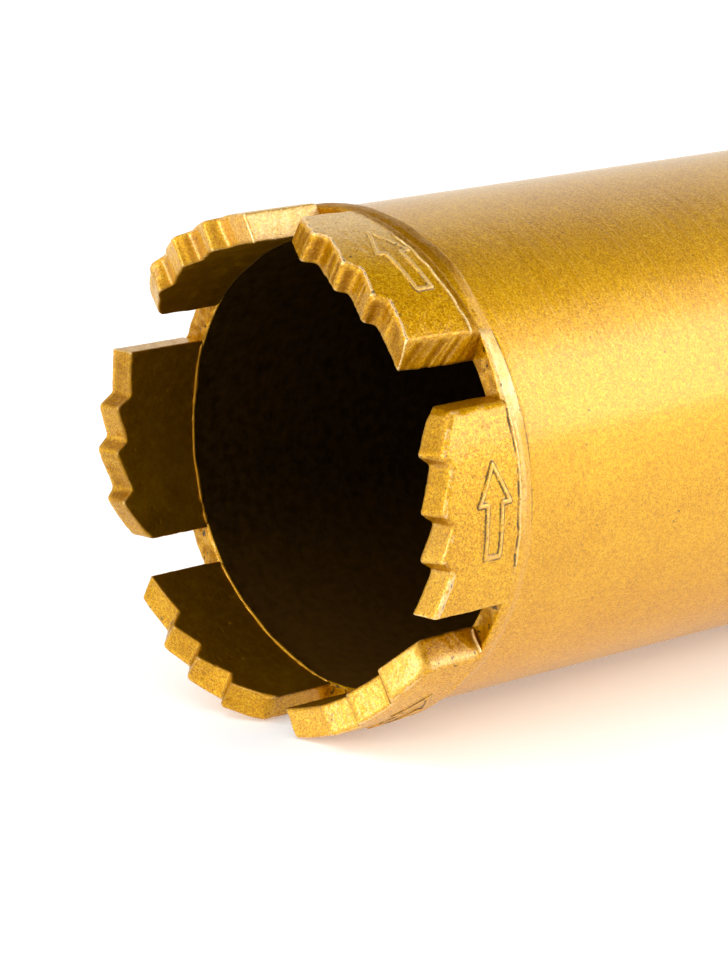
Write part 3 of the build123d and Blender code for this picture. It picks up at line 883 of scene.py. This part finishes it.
def hub():
    nc = 216
    a = np.arange(nc) * 2 * math.pi / nc
    one = np.ones(nc)
    major, minor, pitch = 31.75 / 2, 28.2 / 2, 25.4 / 7
    flat = 19.0 / np.maximum(np.abs(np.cos(a)), 0.05)
    body = np.minimum(flat, 22.0)
    # ease the corners between flat and round
    for _ in range(2):
        body = 0.25 * np.roll(body, 1) + 0.5 * body + 0.25 * np.roll(body, -1)
    rows = []

    def row(x, r):
        rows.append((x * one, r * one))

    # spigot and water way
    for x in (56.55, 58.6, 60.6, 62.2):
        row(x + 0.0, 10.0)
    row(62.5, 10.05)
    row(62.55, 10.3)
    row(62.55, 12.4)
    row(62.55, 14.6)
    row(62.6, 15.2)
    n_t0 = len(rows)
    # right-hand thread: the groove moves towards +X as the angle turns; the crests are flat
    nx = 226
    xs = np.linspace(62.75, X_REAR - 0.05, nx)
    turn = a / (2 * math.pi)
    for x in xs:
        f = ((x - X_REAR) / pitch - turn) % 1.0
        v = np.abs(2 * f - 1)                       # 1 at the crest's middle
        depth = np.clip((1 - v - 0.125) / 0.75, 0, 1)
        r = minor + (major - minor) * depth
        mouth = minor + 1.8 - (X_REAR - x)
        r = np.maximum(r, mouth)
        relief = 15.6 * (x < 64.6)                 # run-out at the thread's blind end
        r = np.maximum(r, relief)
        rows.append((x * one, r))
    n_t1 = len(rows)
    row(X_REAR, minor + 1.8 + 0.12)
    for r in (16.7, 17.4):
        row(X_REAR, r)
    for t in (0.0, 0.25, 0.5, 0.75, 1.0):
        e = 1.0 * math.sin(t * math.pi / 2)
        rows.append(((X_REAR - 1.0 + 1.0 * math.cos(t * math.pi / 2)) * one, body - 1.0 + e))
    x_sh = X_REAR - 18.0
    for x in (93.0, 90.0, 87.0, 84.0, 81.0, x_sh + 0.6, x_sh + 0.15):
        rows.append((x * one, body))
    rows.append(((x_sh + 0.02) * one, body * 0.985 + 22.0 * 0.015))
    for i, t in enumerate((0.25, 0.5, 0.75)):
        rows.append(((x_sh + 0.014 - 0.005 * i) * one, body * (1 - t) + 22.0 * t))
    row(x_sh - 0.02, 21.85)
    row(x_sh - 0.15, 22.0)
    for x in (76.5, 73.5, 70.5, 67.5, 65.2):
        row(x, 22.0)
    row(64.75, 21.97)
    row(64.57, 21.8)
    row(64.55, 21.5)
    row(64.55, 19.5)
    row(64.55, 18.0)
    for x in (62.5, 60.0, 57.2):
        row(x, 18.0)
    row(56.6, 17.9)
    row(56.55, 17.5)
    row(56.55, 14.0)
    row(56.55, 10.3)
    X = np.array([p for p, _ in rows])
    Rr = np.array([q for _, q in rows])
    C = np.stack([X, -Rr * np.cos(a), Rr * np.sin(a)], -1).astype(np.float32)
    i = np.arange(len(rows))[:, None]
    outer = (i > n_t1 + 2) & (Rr > 18.5)
    Rr = Rr - np.abs(0.02 * vnoise(C, 2.2, 61)) * outer
    V, Q = ring_mesh(X, Rr, a)
    Q = outward(V, Q)
    K = convexity(V, Q, 1)
    K = np.where(((i >= n_t0) & (i <= n_t1)).repeat(nc, 1).ravel(), 0.5 * K, K)
    thr = np.broadcast_to((i >= n_t0 - 2) & (i < n_t1 + 1), Rr.shape).astype(float)
    bor = np.broadcast_to((i < n_t0 - 2) | (i > len(rows) - 6), Rr.shape).astype(float)
    return add_mesh("hub_body", V, Q, M_TUBE, "hub",
                    {"cvx": K, "thr": thr.ravel(), "bore": bor.ravel()})


def back_plate():
    nc = 240
    a = np.arange(nc) * 2 * math.pi / nc
    x0 = X_PLATE - 8.0
    prof = [(x0, 18.0), (x0, 20), (x0, 23), (x0, 26), (x0, 27.2), (x0 + 0.1, 27.6), (x0 + 0.5, 27.88), (x0 + 2, 27.9),
            (x0 + 5, 27.9), (x0 + 6.8, 27.9), (x0 + 7.3, 27.8), (x0 + 7.8, 27.35), (x0 + 8, 26.9), (x0 + 8, 26.2),
            (x0 + 8, 25.4), (x0 + 8, 24.6), (x0 + 8, 23.8), (x0 + 8, 23.0), (x0 + 8, 22.0), (x0 + 8, 20.0), (x0 + 8, 18.0),
            (x0 + 5, 18.0), (x0 + 2, 18.0)]
    X = np.array([[p] * nc for p, _ in prof])
    Rr = np.array([[q] * nc for _, q in prof])
    C = np.stack([X, -Rr * np.cos(a), Rr * np.sin(a)], -1).astype(np.float32)
    X = X - 0.03 * np.abs(vnoise(C, 3.0, 62)) * (X > x0 + 7.5)
    V, Q = ring_mesh(X, Rr, a)
    bor = np.broadcast_to((X < x0 + 1.5), X.shape).astype(float)
    Q = outward(V, Q)
    return add_mesh("back_plate_disc", V, Q, M_TUBE, "back_plate",
                    {"cvx": convexity(V, Q, 1), "bore": bor.ravel()})


for k in range(1, 7):
    segment(k)
barrel()
inner_beads()
hub()
back_plate()
rear_beads()

# ------------------------------------------------------------------ floor
def floor():
    me = bpy.data.meshes.new("floor")
    me.from_pydata([(-3, -3, 0), (3, -3, 0), (3, 3, 0), (-3, 3, 0)], [], [(0, 1, 2, 3)])
    ob = bpy.data.objects.new("floor", me)
    bpy.context.scene.collection.objects.link(ob)
    m = bpy.data.materials.new("floor_white")
    m.use_nodes = True
    g = Graph(m.node_tree)
    out = g.node("ShaderNodeOutputMaterial")
    bs = g.node("ShaderNodeBsdfPrincipled")
    co = g.node("ShaderNodeTexCoord").outputs["Object"]
    nz = g.noise(co, 60.0, 3.0, 0.6)
    g.put(bs.inputs["Base Color"], g.ramp(nz, [(0.3, (0.90, 0.90, 0.90)), (0.7, (0.93, 0.93, 0.93))]))
    g.put(bs.inputs["Roughness"], g.mad(nz, 0.1, 0.55))
    bs.inputs["Emission Color"].default_value = (0.92, 0.97, 1.0, 1.0)
    bs.inputs["Emission Strength"].default_value = 0.26
    g.put(out.inputs["Surface"], bs.outputs[0])
    me.materials.append(m)


floor()

# ------------------------------------------------------------------ light
world = bpy.data.worlds.new("studio")
bpy.context.scene.world = world
world.use_nodes = True
g = Graph(world.node_tree)
wo = g.node("ShaderNodeOutputWorld")
bg = g.node("ShaderNodeBackground")
d = g.node("ShaderNodeTexCoord").outputs["Generated"]
# a white room, with a dark ceiling on the right-hand side
sp = g.node("ShaderNodeSeparateXYZ", None, Vector=d)
side = g.step(sp.outputs[0], 0.26, 0.42)
high = g.step(sp.outputs[2], 0.58, 0.70)
g.put(bg.inputs["Color"], g.ramp(g.math("MULTIPLY", side, high), [(0.0, (1.0, 1.0, 1.0)), (1.0, (0.0, 0.0, 0.0))]))
bg.inputs["Strength"].default_value = 1.0
g.put(wo.inputs["Surface"], bg.outputs[0])


def softbox(name, at, look, size, power, colour=(1, 1, 1), size_y=None):
    li = bpy.data.lights.new(name, "AREA")
    li.shape = "RECTANGLE"
    li.size = size
    li.size_y = size_y or size
    li.energy = power
    li.color = colour
    ob = bpy.data.objects.new(name, li)
    bpy.context.scene.collection.objects.link(ob)
    at, look = Vector(at), Vector(look)
    ob.matrix_world = Matrix.Translation(at) @ (look - at).to_track_quat("-Z", "Y").to_matrix().to_4x4()
    return ob


TARGET = Vector((-0.03, -0.02, 0.04))
softbox("front_right", (0.845, -0.789, 0.488), TARGET, 0.85, 3.6, size_y=0.60)
softbox("front_right_wide", (0.940, -0.850, 0.540), TARGET, 1.30, 4.4, size_y=1.10)
softbox("left", (-1.064, -0.038, 0.222), TARGET, 0.45, 4.8)
softbox("overhead", (-0.55, 0.10, 1.30), TARGET, 0.9, 2.3)

# ------------------------------------------------------------------ camera
cam = bpy.data.cameras.new("camera")
cam.sensor_width = 36.0
cam.sensor_fit = "AUTO"
cam.lens = 146.327
cam.clip_start = 0.02
cam.clip_end = 20.0
right = Vector((0.740741, -0.671669, -0.012793))
up = Vector((0.155065, 0.152421, 0.976075))
fwd = Vector((0.653649, 0.725003, -0.217057))
co = bpy.data.objects.new("camera", cam)
bpy.context.scene.collection.objects.link(co)
R = Matrix((right, up, -fwd)).transposed()
co.matrix_world = Matrix.Translation(Vector((-0.393773, -0.347453, 0.132197))) @ R.to_4x4()
bpy.context.scene.camera = co

bpy.context.scene.view_settings.view_transform = "Standard"
bpy.context.scene.view_settings.look = "None"
